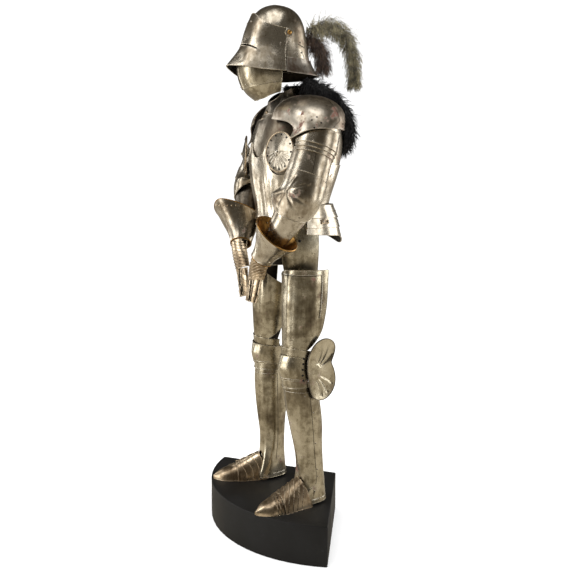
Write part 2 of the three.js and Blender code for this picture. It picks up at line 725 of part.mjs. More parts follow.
for (const [name, hand] of [["left", 1], ["right", -1]]) {
  const rows = legRows[name];
  const leg = region(`leg_${name}`, rows[7].x, rows[7].y, rows[7].z);
  const limb = skin(rows, along(rows, V(0, -1, 0)), hand);
  add(leg, `cuisse_${name}`, plate(limb, {
    from: -112.5, to: 126,
    low: edge([-108, 640], [-54, 566], [0, 556], [72, 560], [90, 580], [108, 612], [126, 650]),
    high: edge([-108, 776], [-54, 812], [-36, 834], [-18, 850], [0, 856], [126, 860]),
    rows: 7, lift: 0,
  }), "steel");
  add(leg, `poleyn_upper_lame_${name}`, plate(limb, {
    from: -90, to: 90, low: 530, high: 570, rows: 2, lift: LAP,
  }), "steel");
  add(leg, `poleyn_${name}`, plate(limb, {
    from: -112.5, to: 112.5, low: 466, high: 542, rows: 5, lift: 2 * LAP,
    bulge: (at, angle) => 15 * bell(at, 504, 30) * bell(angle, 0, 42),
  }), "steel");
  add(leg, `poleyn_lower_lame_${name}`, plate(limb, {
    from: -90, to: 90, low: 440, high: 478, rows: 2, lift: LAP,
  }), "steel");
  const wing = kneeWing(hand, rows[7].x + hand * 76, rows[7].y + 40, rows[7].z + 8);
  add(leg, `poleyn_wing_${name}`, wing, "steel");
  add(leg, `greave_${name}`, plate(limb, {
    from: 0, to: 360,
    low: backEdge([0, 96], [36, 80], [72, 34], [90, 16], [180, 12]),
    high: backEdge([0, 456], [90, 446], [180, 416]),
    rows: 8, lift: 0,
  }), "steel");
  const ankle = rows[0];
  const aim = rad(footAim[name]);
  const feet = footArch.map((row) => ({
    ...row, x: ankle.x + row.at * Math.sin(aim), y: ankle.y - row.at * Math.cos(aim), z: 0.5,
  }));
  const foot = skin(feet, along(feet, V(0, 0, 1)), hand);
  const end = feet[feet.length - 1].at;
  add(leg, `sabaton_instep_${name}`, plate(foot, {
    from: -90, to: 90, low: evenEdge([0, 52], [45, 46], [90, 24]), high: 0.6 * end, rows: 4, lift: LAP,
  }), "bronzed_steel");
  add(leg, `sabaton_toe_${name}`, plate(foot, {
    from: -90, to: 90, low: 0.56 * end, high: end, rows: 4, lift: 0,
  }), "bronzed_steel");
}

// ==== fur mantle and plumes ====
const mantleRows = table(
  ["at", "y", "outer", "front", "back"],
  [
    [1290, 104, 196, 100, 178],
    [1380, 104, 196, 100, 186],
    [1440, 98, 185, 100, 178],
    [1485, 84, 150, 100, 150],
    [1510, 70, 112, 90, 108],
    [1535, 62, 88, 84, 86],
  ],
);
const mantle = skin(mantleRows, level);
add(trunk, "fur_mantle", plate(mantle, {
  from: 105, to: 255,
  low: backEdge([105, 1498], [142.5, 1490], [150, 1478], [157.5, 1340], [180, 1300]),
  high: 1530, rows: 6, step: TRUNK_STEP / 2, wall: FUR_DEPTH,
}), "fur");

function plume(rows) {
  const path = along(rows, V(1, 0, 0));
  const body = skin(rows, path);
  const last = rows[rows.length - 1].at;
  const rings = [];
  for (let i = 0; i <= 14; i += 1) {
    const ring = [];
    for (let a = 0; a < 360; a += 36) ring.push(body((last * i) / 14, a));
    rings.push(ring);
  }
  return loft(rings);
}
const plumeColumns = ["at", "x", "y", "z", "outer", "front", "back"];
add(helmet, "plume_long", plume(table(plumeColumns, [
  [0, 8, 134, 1722, 13, 10, 10],
  [60, 8, 184, 1748, 28, 22, 22],
  [130, 6, 246, 1754, 31, 27, 27],
  [200, 2, 298, 1722, 29, 25, 25],
  [270, 0, 328, 1656, 27, 23, 23],
  [340, 0, 336, 1588, 23, 19, 19],
  [390, 0, 336, 1545, 10, 8, 8],
])), "feather");
add(helmet, "plume_short", plume(table(plumeColumns, [
  [0, -18, 138, 1690, 9, 9, 9],
  [40, -22, 168, 1692, 16, 14, 14],
  [90, -24, 196, 1664, 26, 20, 20],
  [140, -24, 204, 1622, 32, 23, 23],
  [180, -24, 204, 1588, 19, 14, 14],
])), "brown_feather");

export default suit;
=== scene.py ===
import math
import bpy
import numpy as np
from mathutils import Matrix, Vector


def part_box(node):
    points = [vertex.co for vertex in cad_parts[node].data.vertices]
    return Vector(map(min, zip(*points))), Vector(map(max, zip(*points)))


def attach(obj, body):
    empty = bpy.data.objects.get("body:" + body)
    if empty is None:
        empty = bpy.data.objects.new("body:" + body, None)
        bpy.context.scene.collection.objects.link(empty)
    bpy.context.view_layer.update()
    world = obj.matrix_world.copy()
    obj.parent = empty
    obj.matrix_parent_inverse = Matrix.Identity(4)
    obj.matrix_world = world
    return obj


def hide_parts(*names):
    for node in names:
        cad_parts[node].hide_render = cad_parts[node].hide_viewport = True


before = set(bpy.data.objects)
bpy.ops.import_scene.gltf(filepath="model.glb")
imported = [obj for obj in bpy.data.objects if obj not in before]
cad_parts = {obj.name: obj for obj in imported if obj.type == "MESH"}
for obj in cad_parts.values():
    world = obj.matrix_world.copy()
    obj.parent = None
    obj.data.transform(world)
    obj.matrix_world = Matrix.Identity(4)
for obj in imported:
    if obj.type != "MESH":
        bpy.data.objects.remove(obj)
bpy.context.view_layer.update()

# ---- plinth ----
# A sector of board with a round front, butted and screwed, filled and painted matt black.
# Its edges are eased with abrasive paper, and handling has rubbed the paint grey along them.


def choose(*pieces):
    """Only these pieces are selected, and the last is the active one."""
    bpy.ops.object.select_all(action="DESELECT")
    for piece in pieces:
        piece.select_set(True)
    bpy.context.view_layer.objects.active = pieces[-1]


def copy_of(part, name):
    """A part's solid as a piece of its own, its loose triangles joined to four-sided faces."""
    choose(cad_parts[part])
    bpy.ops.object.duplicate()
    piece = bpy.context.active_object
    piece.name = name
    for key in [key for key in piece.keys() if key.startswith("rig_")]:
        del piece[key]
    piece.parent = None
    piece.data.materials.clear()
    bpy.ops.mesh.customdata_custom_splitnormals_clear()
    bpy.ops.object.mode_set(mode="EDIT")
    bpy.ops.mesh.select_all(action="SELECT")
    bpy.ops.mesh.remove_doubles(threshold=1e-5)
    bpy.ops.mesh.tris_convert_to_quads(face_threshold=math.radians(60), shape_threshold=math.radians(60))
    bpy.ops.object.mode_set(mode="OBJECT")
    return piece


def colour(code):
    """An sRGB hex code as linear light."""
    parts = [int(code[i:i + 2], 16) / 255 for i in (1, 3, 5)]
    return [c / 12.92 if c <= 0.04045 else ((c + 0.055) / 1.055) ** 2.4 for c in parts] + [1]


NOISE = "ShaderNodeTexNoise"
RAMP = "ShaderNodeValToRGB"
MIX = "ShaderNodeMix"
# A mix of colours takes its share at input 0 and the colours at 6 and 7, and gives output 2.
COLOURS = {"data_type": "RGBA"}


def add_node(tree, kind, settings=None, links=None, stops=(), output=0):
    """Adds a shader node with its settings, links and colour stops, and gives back one of its outputs."""
    made = tree.nodes.new(kind)
    for key, value in (settings or {}).items():
        if isinstance(key, str) and hasattr(made, key):
            setattr(made, key, value)
        else:
            made.inputs[key].default_value = value
    for key, source in (links or {}).items():
        tree.links.new(source, made.inputs[key])
    for number, (place, tint) in enumerate(stops):
        stop = made.color_ramp.elements[number]
        stop.position = place
        stop.color = colour(tint) if isinstance(tint, str) else (tint, tint, tint, 1)
    return made.outputs[output]


def blank_material(name):
    """A material with its node tree and shader, and the object's own coordinates."""
    material = bpy.data.materials.new(name)
    material.use_nodes = True
    tree = material.node_tree
    place = add_node(tree, "ShaderNodeTexCoord", output="Object")
    return material, tree, tree.nodes["Principled BSDF"], place


# Matt black paint on board: roller stipple, a little grey where handling has rubbed it.
black_paint, tree, shader, place = blank_material("rolled matt black paint")
shader.inputs["Specular IOR Level"].default_value = 0.2
cloud = add_node(tree, NOISE, {"Scale": 7, "Detail": 6}, {"Vector": place})
stipple = add_node(tree, NOISE, {"Scale": 900, "Detail": 2}, {"Vector": place})
scuff = add_node(tree, NOISE, {"Scale": 46, "Detail": 9, "Roughness": 0.7}, {"Vector": place})
worn = add_node(tree, "ShaderNodeNewGeometry", output="Pointiness")
on_edge = add_node(tree, RAMP, links={"Fac": worn}, stops=((0.515, 0), (0.56, 1)))
few = add_node(tree, RAMP, links={"Fac": scuff}, stops=((0.74, 0), (0.86, 0.3)))
many = add_node(tree, RAMP, links={"Fac": scuff}, stops=((0.56, 0), (0.86, 0.3)))
rubbed = add_node(tree, MIX, COLOURS, {0: on_edge, 6: few, 7: many}, output=2)
paint = add_node(tree, RAMP, links={"Fac": cloud}, stops=((0.35, "#151412"), (0.7, "#1C1B1A")))
paint = add_node(tree, MIX, {**COLOURS, 7: colour("#55575A")}, {0: rubbed, 6: paint}, output=2)
sheen = add_node(tree, RAMP, links={"Fac": cloud}, stops=((0.3, 0.42), (0.7, 0.58)))
bump = add_node(tree, "ShaderNodeBump", {"Strength": 0.25, "Distance": 0.0003}, {"Height": stipple})
tree.links.new(paint, shader.inputs["Base Color"])
tree.links.new(sheen, shader.inputs["Roughness"])
tree.links.new(bump, shader.inputs["Normal"])


def ease_edges(piece, width, segments):
    """Takes the sharpness off the edges of the piece at hand."""
    bpy.ops.object.modifier_add(type="BEVEL")
    piece.modifiers[-1].width = width
    piece.modifiers[-1].segments = segments
    bpy.ops.object.modifier_apply(modifier=piece.modifiers[-1].name)
    bpy.ops.object.shade_smooth_by_angle(angle=math.radians(30))


plinth = copy_of("plinth", "plinth_board")
ease_edges(plinth, 0.0016, 2)
plinth.data.materials.append(black_paint)
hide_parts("plinth")
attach(plinth, "suit")

# ---- plates ----
# Each plate is a sheet of steel, raised over a stake, planished and polished, now dulled by a
# brown patina with rust in its hollows. Its free edges are turned over, rubbed bright by cleaning.

TURN_RADIUS = 0.0012  # of a turned edge
SHARP = math.radians(52)  # between faces, where an edge of the sheet stays square
FOOT_FORWARD = 0.042  # that the foot of a greave reaches over the side of the instep
ANKLE = 0.3  # height above which a greave keeps its shape
SOLE = 0.157  # height of a greave's lower edge
COLUMN = 7.5  # degrees round the ankle that one column of the sheet takes


def smooth_plate(piece, levels):
    """The faceted sheet as one smooth curve, with its edges kept square."""
    choose(piece)
    bpy.ops.object.mode_set(mode="EDIT")
    bpy.ops.mesh.select_mode(type="EDGE")
    bpy.ops.mesh.select_all(action="DESELECT")
    bpy.ops.mesh.edges_select_sharp(sharpness=SHARP)
    bpy.ops.transform.edge_crease(value=1)
    bpy.ops.object.mode_set(mode="OBJECT")
    bpy.ops.object.modifier_add(type="SUBSURF")
    piece.modifiers[-1].levels = levels
    piece.modifiers[-1].render_levels = levels
    bpy.ops.object.modifier_apply(modifier=piece.modifiers[-1].name)
    bpy.ops.object.shade_smooth_by_angle(angle=math.radians(40))


def turned_edge(piece, radius, material):
    """A round bead along the plate's free edges, joined to it."""
    choose(piece)
    bpy.ops.object.mode_set(mode="EDIT")
    bpy.ops.mesh.select_all(action="DESELECT")
    bpy.ops.mesh.edges_select_sharp(sharpness=SHARP)
    bpy.ops.mesh.duplicate()
    bpy.ops.mesh.separate(type="SELECTED")
    bpy.ops.object.mode_set(mode="OBJECT")
    bead = [o for o in bpy.context.selected_objects if o is not piece][0]
    choose(bead)
    bpy.ops.object.convert(target="CURVE")
    bead.data.bevel_depth = radius
    bead.data.bevel_resolution = 1
    bpy.ops.object.convert(target="MESH")
    bead = bpy.context.active_object
    bead.data.materials.clear()
    bead.data.materials.append(material)
    bpy.ops.object.shade_smooth()
    choose(bead, piece)
    bpy.ops.object.join()


def points_of(piece):
    """The piece's vertices as an array."""
    flat = np.empty(3 * len(piece.data.vertices))
    piece.data.vertices.foreach_get("co", flat)
    return flat.reshape(-1, 3)


def lay_lames(piece, start, end, count, step, gap=0.0008):
    """Turns a stretch into overlapping lames, each standing out at its start, with black in the gaps: dirt
    in the joints and painted shadow under each lame's edge.
    """
    run = Vector(end) - Vector(start)
    choose(piece)
    bpy.ops.object.mode_set(mode="EDIT")
    for i in range(1, count):
        for nudge in (-gap, gap):
            bpy.ops.mesh.select_all(action="SELECT")
            bpy.ops.mesh.bisect(plane_co=Vector(start) + run * (i / count) + run.normalized() * nudge,
                                plane_no=run.normalized())
    bpy.ops.object.mode_set(mode="OBJECT")
    points = points_of(piece)
    share = (points - np.array(start)) @ np.array(run) / run.length_squared
    middle = np.array(start) + np.clip(share, 0, 1)[:, None] * np.array(run)
    out = points - middle
    out /= np.maximum(np.linalg.norm(out, axis=1), 1e-6)[:, None]
    place_in = np.clip(share, 0, 0.9999) * count
    amount = step * (1 - (place_in - np.floor(place_in)))
    piece.data.vertices.foreach_set("co", (points + out * amount[:, None]).ravel())
    piece.data.update()
    # Faces in each gap take the last, nearly black material: painted shadow under the lame's edge, with
    # dirt.
    for face in piece.data.polygons:
        reached = (face.center - Vector(start)).dot(run) / run.length_squared * count
        if 0.5 < reached < count - 0.5 and abs(reached - round(reached)) * run.length / count < gap:
            face.material_index = len(piece.data.materials) - 1
    bpy.ops.object.shade_smooth_by_angle(angle=math.radians(35))


def reach_down(piece):
    """Lengthens the foot of a greave, beside and behind the instep, down to the sole."""
    points = points_of(piece)
    foot = points[:, 2] < ANKLE
    middle = (points[foot].min(axis=0) + points[foot].max(axis=0)) / 2
    columns = np.round(np.degrees(np.arctan2(points[:, 0] - middle[0], middle[1] - points[:, 1])) / COLUMN)
    for column in np.unique(columns[foot]):
        mine = foot & (columns == column)
        angle = abs(column * COLUMN)
        # The front, over the instep, stays; the sides reach down and forward, the heel only down.
        share = min(1, max(0, (angle - 20) / 18))
        forward = FOOT_FORWARD * share * min(1, max(0, (104 - angle) / 46))
        edge = points[mine, 2].min()
        new_edge = edge + (min(edge, SOLE) - edge) * share
        depth = (ANKLE - points[mine, 2]) / max(ANKLE - edge, 0.01)
        points[mine, 2] = ANKLE - depth * (ANKLE - new_edge)
        points[mine, 1] -= forward * depth ** 2
        points[mine, 0] += 0.08 * share * depth ** 2 * (points[mine, 0] - middle[0])
    piece.data.vertices.foreach_set("co", points.ravel())
    piece.data.update()


def ends(piece, toward):
    """The middles of a piece's two ends, along a direction."""
    points = points_of(piece)
    reach = points @ np.array(toward)
    first, last = np.quantile(reach, 0.04), np.quantile(reach, 0.96)
    return Vector(points[reach <= first].mean(axis=0)), Vector(points[reach >= last].mean(axis=0))


def dark_inside(piece, start, end, material):
    """Gives the wall that faces a line inside the plate its own finish: left black from the forge, and made
    nearly black as painted shade inside the plate.
    """
    piece.data.materials.append(material)
    index = len(piece.data.materials) - 1
    start, run = Vector(start), Vector(end) - Vector(start)
    for face in piece.data.polygons:
        share = min(1, max(0, (face.center - start).dot(run) / run.length_squared))
        outward = (face.center - start - run * share).normalized()
        # Past a right angle by more than the slope of a rounded edge.
        if face.normal.dot(outward) < -0.25:
            face.material_index = index


def steel(name, bright, dull, patina, brown=(0.52, 0.74), rust=(0.66, 0.74), rough=(0.2, 0.38), seed=0.0):
    """Worn plate steel: polished highs, a brown film in soft clouds, and pits of rust.

    brown and rust are where each sets in over its own noise: lower values give more of it."""
    material, tree, shader, place = blank_material(name)
    moved = {"Vector": add_node(tree, "ShaderNodeMapping", {"Location": (seed, 1.7 * seed, 0.6 * seed)},
                                {"Vector": place})}
    # Clouds of patina a hand wide, mottling at a finger's width, vertical wiping marks.
    cloud = add_node(tree, NOISE, {"Scale": 8, "Detail": 5, "Distortion": 0.6}, moved)
    mottle = add_node(tree, NOISE, {"Scale": 55, "Detail": 8, "Roughness": 0.62}, moved)
    grain = add_node(tree, NOISE, {"Scale": 420, "Detail": 4, "Roughness": 0.6}, moved)
    drawn = add_node(tree, "ShaderNodeMapping", {"Scale": (90, 90, 7)}, moved)
    wiped = add_node(tree, NOISE, {"Scale": 1, "Detail": 5}, {"Vector": drawn})
    film = add_node(tree, MIX, {**COLOURS, 0: 0.34}, {6: cloud, 7: mottle}, output=2)
    film = add_node(tree, MIX, {**COLOURS, 0: 0.14}, {6: film, 7: wiped}, output=2)
    dulled = add_node(tree, RAMP, links={"Fac": film}, stops=((0.34, 0), (0.56, 1)))
    tint = add_node(tree, MIX, {**COLOURS, 6: colour(bright), 7: colour(dull)}, {0: dulled}, output=2)
    browned = add_node(tree, RAMP, links={"Fac": film}, stops=((brown[0], 0), (brown[1], 0.85)))
    tint = add_node(tree, MIX, {**COLOURS, 7: colour(patina)}, {0: browned, 6: tint}, output=2)
    # Painted shade, with some dirt, darkens the creases, and cleaning rubs the ridges bright.
    edge = {"Fac": add_node(tree, "ShaderNodeNewGeometry", output="Pointiness")}
    crease = add_node(tree, RAMP, links=edge, stops=((0.42, 0.75), (0.49, 0)))
    tint = add_node(tree, MIX, {**COLOURS, 7: colour("#2B2018")}, {0: crease, 6: tint}, output=2)
    ridge = add_node(tree, RAMP, links=edge, stops=((0.52, 0), (0.6, 0.5)))
    tint = add_node(tree, MIX, {**COLOURS, 7: colour(bright)}, {0: ridge, 6: tint}, output=2)
    # Pits of old rust a few millimetres across, then rust in patches, which is no longer metal.
    pits = add_node(tree, "ShaderNodeTexVoronoi", {"Scale": 130, "Randomness": 1}, moved)
    pits = add_node(tree, RAMP, links={"Fac": pits}, stops=((0.1, 1), (0.24, 0)))
    where = add_node(tree, RAMP, links={"Fac": mottle}, stops=((0.56, 0), (0.62, 1)))
    pitted = add_node(tree, MIX, {**COLOURS, 6: (0, 0, 0, 1)}, {0: pits, 7: where}, output=2)
    tint = add_node(tree, MIX, {**COLOURS, 7: colour("#33241A")}, {0: pitted, 6: tint}, output=2)
    rusted = add_node(tree, NOISE, {"Scale": 17, "Detail": 10, "Roughness": 0.72}, moved)
    rusted = add_node(tree, RAMP, links={"Fac": rusted}, stops=((rust[0], 0), (rust[1], 1)))
    rust_tint = add_node(tree, RAMP, links={"Fac": grain}, stops=((0.35, "#50342A"), (0.65, "#835A4A")))
    tint = add_node(tree, MIX, COLOURS, {0: rusted, 6: tint, 7: rust_tint}, output=2)
    metal = add_node(tree, RAMP, links={"Fac": rusted}, stops=((0.0, 1.0), (1.0, 0.25)))
    gloss = add_node(tree, RAMP, links={"Fac": film}, stops=((0.36, rough[0]), (0.66, rough[1])))
    gloss = add_node(tree, MIX, {**COLOURS, 7: (0.7, 0.7, 0.7, 1)}, {0: rusted, 6: gloss}, output=2)
    # Hammer marks 45 mm across, then the fine grain of the polish and the pits.
    dents = add_node(tree, NOISE, {"Scale": 22, "Detail": 1}, moved)
    bump = add_node(tree, "ShaderNodeBump", {"Strength": 0.55, "Distance": 0.0022}, {"Height": dents})
    bump = add_node(tree, "ShaderNodeBump", {"Strength": 0.35, "Distance": 0.0006},
                    {"Height": mottle, "Normal": bump})
    bump = add_node(tree, "ShaderNodeBump", {"Strength": 0.3, "Distance": 0.0002},
                    {"Height": grain, "Normal": bump})
    tree.links.new(tint, shader.inputs["Base Color"])
    tree.links.new(metal, shader.inputs["Metallic"])
    tree.links.new(gloss, shader.inputs["Roughness"])
    tree.links.new(bump, shader.inputs["Normal"])
    return material


# Bare steel, planished and polished: it mirrors the room in soft, broken streaks.
plate_steel = steel("planished bare steel", "#DED5C5", "#B0A591", "#5E4C38",
                    brown=(0.47, 0.66), rust=(0.6, 0.68))
# The same, darker, with more brown film and a rougher polish: on the faulds, and as painted shade on the
# far, right forearm, whose twin on the left is bright.
dark_steel = steel("dull brown steel", "#8B8376", "#625A4E", "#3A2E24",
                   brown=(0.44, 0.66), rough=(0.28, 0.48), seed=3)
# Steel with a bronze tone left by old varnish, on hands and feet.
bronzed_steel = steel("varnished bronzed steel", "#E6D3B6", "#BCA78A", "#5E4B36",
                      brown=(0.44, 0.62), rough=(0.24, 0.42), seed=7)
# Steel that damp has reached: red-brown patches over half of it.
rusted_steel = steel("rust-stained steel", "#C2BBAF", "#8F8578", "#5A3E2C",
                     brown=(0.46, 0.64), rust=(0.56, 0.66), rough=(0.24, 0.48), seed=11)
# Shoulder steel: bright and satin, with red-brown patches where it was wet.
shoulder_steel = steel("satin steel with rust patches", "#E2D9CA", "#B5AA97", "#5E4A38",
                       brown=(0.47, 0.64), rust=(0.57, 0.62), rough=(0.26, 0.44), seed=4.3)
# The chest and besagews, where the light falls full: a greyer polish, darkened as painted shade.
grey_shaded_steel = steel("grey steel with painted shade", "#B5AD9E", "#8A8171", "#4C3E30",
                   brown=(0.47, 0.66), rust=(0.6, 0.68), seed=6.1)
# Edges and rivet heads rubbed bright.
edge_steel = steel("rubbed edge steel", "#E6E1D6", "#B9AF9D", "#7A6449", rough=(0.18, 0.34), seed=5)
# The inside of every plate: forge scale under old oil, nearly black, and darker still as painted shade. The
# same black marks seams, dark lines and the gaps between lames.
forge_scale_and_shade = steel("black forge scale and painted shade", "#3B352D", "#2A251F", "#1B1713",
                    brown=(0.4, 0.6), rough=(0.45, 0.65), seed=2)
# Greaves and knees: polished, with a yellow-brown varnish that has gone uneven.
leg_steel = steel("yellowed polished steel", "#D6CDB7", "#A1967E", "#524635",
                  brown=(0.48, 0.66), rust=(0.59, 0.68), rough=(0.2, 0.36), seed=9)
# Brass sheet, warm and a little tarnished.
brass = steel("tarnished brass", "#B98F52", "#8C6835", "#54391C", brown=(0.45, 0.62), rust=(0.9, 0.95),
              rough=(0.26, 0.44), seed=13)

# node name, smoothing levels, material, material slot
plates = [
    ("breastplate_upper", 2, grey_shaded_steel, "steel"),
    ("breastplate_plackart", 2, plate_steel, "steel"),
    ("backplate_upper", 2, plate_steel, "steel"),
    ("backplate_lower", 2, plate_steel, "steel"),
    ("fauld_1", 2, dark_steel, "steel"),
    ("fauld_2", 2, dark_steel, "steel"),
    ("culet_1", 2, plate_steel, "steel"),
    ("culet_2", 2, plate_steel, "steel"),
    ("culet_3", 2, plate_steel, "steel"),
    ("gorget_front", 2, shoulder_steel, "rusted_steel"),
    ("gorget_back", 2, plate_steel, "steel"),
    ("helmet_skull", 2, plate_steel, "steel"),
    ("helmet_tail", 2, rusted_steel, "rusted_steel"),
    ("helmet_visor", 2, plate_steel, "steel"),
    ("bevor_face", 2, leg_steel, "steel"),
    ("bevor_chin", 2, leg_steel, "steel"),
]
for side in ("left", "right"):
    plates += [
        (f"hip_plate_{side}", 2, leg_steel, "steel"),
        (f"besagew_{side}", 2, grey_shaded_steel, "steel"),
        (f"pauldron_{side}", 2, shoulder_steel, "steel"),
        (f"arm_upper_lame_{side}", 2, plate_steel, "steel"),
        (f"arm_middle_lame_{side}", 2, plate_steel, "steel"),
        (f"arm_lower_lame_{side}", 2, plate_steel, "steel"),
        (f"upper_cannon_{side}", 2, plate_steel, "steel"),
        (f"couter_{side}", 3, plate_steel, "steel"),
        # The far, right forearm takes the darker copy: painted shade.
        (f"lower_cannon_{side}", 2, plate_steel if side == "left" else dark_steel,
         "steel" if side == "left" else "dark_steel"),
        (f"gauntlet_cuff_{side}", 2, plate_steel, "steel"),
        (f"gauntlet_hand_{side}", 2, bronzed_steel, "bronzed_steel"),
        (f"gauntlet_fingers_{side}", 3, bronzed_steel, "bronzed_steel"),
        (f"cuisse_{side}", 3, leg_steel, "steel"),
        (f"poleyn_upper_lame_{side}", 2, leg_steel, "steel"),
        (f"poleyn_{side}", 3, leg_steel, "steel"),
        (f"poleyn_lower_lame_{side}", 2, leg_steel, "steel"),
        (f"poleyn_wing_{side}", 3, leg_steel, "steel"),
        (f"greave_{side}", 2, leg_steel, "steel"),
        (f"sabaton_instep_{side}", 3, bronzed_steel, "bronzed_steel"),
        (f"sabaton_toe_{side}", 3, bronzed_steel, "bronzed_steel"),
    ]


def hollow_line(part, piece):
    """The line that runs along the middle of a plate's hollow."""
    if part.startswith(("helmet", "bevor")):
        return (0, 0.022, 1.5), (0, 0.022, 1.84)
    if part.startswith(("besagew", "poleyn_wing")):
        return ends(piece, (0, 0, 1))[0] * Vector((0, 1, 1)), ends(piece, (0, 0, 1))[1] * Vector((0, 1, 1))
    if part.startswith(("gauntlet_cuff", "lower_cannon", "upper_cannon")):
        return ends(piece, (0, 0, 1))
    if part.startswith(("cuisse", "poleyn", "greave")):
        side = 0.14 if part.endswith("left") else -0.14
        return (side, 0.05, 0.16), (side, 0.06, 1.0)
    if part.startswith("sabaton"):
        start, end = ends(piece, (0, -1, 0))
        return start + Vector((0, 0, -0.03)), end + Vector((0, 0, -0.02))
    if part.startswith(("arm_", "couter", "gauntlet_hand", "gauntlet_fingers", "pauldron")):
        start, end = ends(piece, (0, 0, 1))
        lean = Vector((-0.02 if part.endswith("left") else 0.02, 0.01, 0))
        return start + lean, end + lean
    return (0, 0.098, 1.0), (0, 0.098, 1.56)


plate = {}
for part, levels, material, finish_slot in plates:
    piece = copy_of(part, f"{part}_plate")
    if part.startswith("greave"):
        reach_down(piece)
    smooth_plate(piece, levels)
    piece.data.materials.append(material)
    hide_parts(part)
    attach(piece, "visor" if part == "helmet_visor" else "suit")
    plate[part] = piece

    line = hollow_line(part, piece)
    # Inner walls go nearly black, forge scale with painted shade; inside the cuffs they are brass.
    dark_inside(piece, *line, brass if part.startswith("gauntlet_cuff") else forge_scale_and_shade)
    if part.startswith("sabaton_instep"):
        lay_lames(piece, *ends(piece, (0, -1, 0)), 7, 0.0036, 0.0014)
    if part.startswith("sabaton_toe"):
        back_end, tip_end = ends(piece, (0, -1, 0))
        lay_lames(piece, back_end, back_end.lerp(tip_end, 0.42), 4, 0.0032, 0.0014)
    if part.startswith("gauntlet_hand"):
        lay_lames(piece, *ends(piece, (0, 0, -1)), 11, 0.0028)
    if part.startswith("gauntlet_fingers"):
        lay_lames(piece, *ends(piece, (0, 0, -1)), 6, 0.0022)
    if part.startswith("gauntlet_cuff"):
        turned_edge(piece, 1.5 * TURN_RADIUS, brass)
    elif part.startswith("besagew"):
        turned_edge(piece, 0.0022, bronzed_steel)
    elif part.startswith("poleyn_wing"):
        turned_edge(piece, 0.0017, dark_steel)
    else:
        turned_edge(piece, TURN_RADIUS, material)

# ---- rivets, creases and chased lines ----
# Each plate is stiffened by creases struck from inside and by chased border lines. Steel rivets
# with domed heads hold straps and lames; some are lost and leave dark holes.

# Lost rivets' holes are not cut: a near-black domed head marks each one, painted shade for the open hole.
hole_black, _, shader, _ = blank_material("dark rivet hole")
shader.inputs["Base Color"].default_value = colour("#0B0806")
shader.inputs["Roughness"].default_value = 0.8
heads = {"suit": [], "visor": []}
FAR_OUT = 0.6  # outside every plate

bpy.ops.object.select_all(action="DESELECT")
bpy.ops.mesh.primitive_uv_sphere_add(segments=12, ring_count=8, radius=1)
rivet_head = bpy.context.active_object
rivet_head.name = "rivet_pattern"
bpy.ops.object.mode_set(mode="EDIT")
bpy.ops.mesh.select_all(action="SELECT")
bpy.ops.mesh.bisect(plane_co=(0, 0, -0.3), plane_no=(0, 0, 1), use_fill=True, clear_inner=True)
bpy.ops.mesh.select_all(action="SELECT")
bpy.ops.transform.resize(value=(1, 1, 0.62))
bpy.ops.object.mode_set(mode="OBJECT")
bpy.ops.object.shade_smooth_by_angle(angle=math.radians(50))


def rivet(point, normal, radius, material):
    """A domed rivet head, copied from the pattern, its shank end sunk a little in the plate."""
    head = rivet_head.copy()
    head.data = rivet_head.data.copy()
    bpy.context.scene.collection.objects.link(head)
    turn = Vector(normal).to_track_quat("Z", "Y").to_matrix().to_4x4()
    head.data.transform(Matrix.Translation(Vector(point)) @ turn @ Matrix.Scale(radius, 4))
    head.data.materials.append(material)
    return head


def spot(piece, azimuth, share):
    """The place and outward normal on a piece: azimuth 0 ahead, 90 the wearer's left; share of height."""
    points = points_of(piece)
    low, high = points[:, 2].min(), points[:, 2].max()
    level = low + share * (high - low)
    slab = points[abs(points[:, 2] - level) < 0.08 * (high - low) + 0.004]
    middle = (slab.min(axis=0) + slab.max(axis=0)) / 2
    turn = math.radians(azimuth)
    out = Vector((math.sin(turn), -math.cos(turn), 0))
    start = Vector((middle[0], middle[1], level)) + out * FAR_OUT
    hit, point, normal, _ = piece.ray_cast(start, -out)
    if not hit:
        _, point, normal, _ = piece.closest_point_on_mesh(start - out * FAR_OUT)
    return point, normal


def near(piece, point):
    """The place and outward normal on a piece nearest to a point."""
    _, place_on, normal, _ = piece.closest_point_on_mesh(Vector(point))
    return place_on, normal


def raise_line(piece, spots, height, width):
    """Moves the sheet out along a line of (place, normal): a ridge, or a groove if height is below 0."""
    points = points_of(piece)
    best = np.full(len(points), 9.0)
    push = np.zeros_like(points)
    for (start, start_out), (end, end_out) in zip(spots, spots[1:]):
        start = np.array(start)
        run = np.array(end) - start
        share = np.clip(((points - start) @ run) / max(run @ run, 1e-12), 0, 1)
        gap = np.linalg.norm(points - start - share[:, None] * run, axis=1)
        closer = gap < best
        best[closer] = gap[closer]
        normal = (1 - share)[:, None] * np.array(start_out) + share[:, None] * np.array(end_out)
        push[closer] = normal[closer]
    amount = height * np.clip(1 - best / width, 0, 1)
    piece.data.vertices.foreach_set("co", (points + push * amount[:, None]).ravel())
    piece.data.update()


def bead_line(name, spots, radius, material):
    """A thin raised line chased in the sheet along (place, normal) spots."""
    path = bpy.data.curves.new(name, "CURVE")
    path.dimensions = "3D"
    path.bevel_depth = radius
    path.bevel_resolution = 1
    line = path.splines.new("POLY")
    line.points.add(len(spots) - 1)
    for point, (place_on, normal) in zip(line.points, spots):
        point.co = (*(place_on + normal * radius * 0.1), 1)
    piece = bpy.data.objects.new(name, path)
    bpy.context.scene.collection.objects.link(piece)
    choose(piece)
    bpy.ops.object.convert(target="MESH")
    piece = bpy.context.active_object
    piece.data.materials.clear()
    piece.data.materials.append(material)
    bpy.ops.object.shade_smooth()
    return piece


def join_all(pieces, name):
    """Several meshes as one piece."""
    choose(*pieces)
    bpy.ops.object.join()
    joined = bpy.context.active_object
    joined.name = name
    return joined


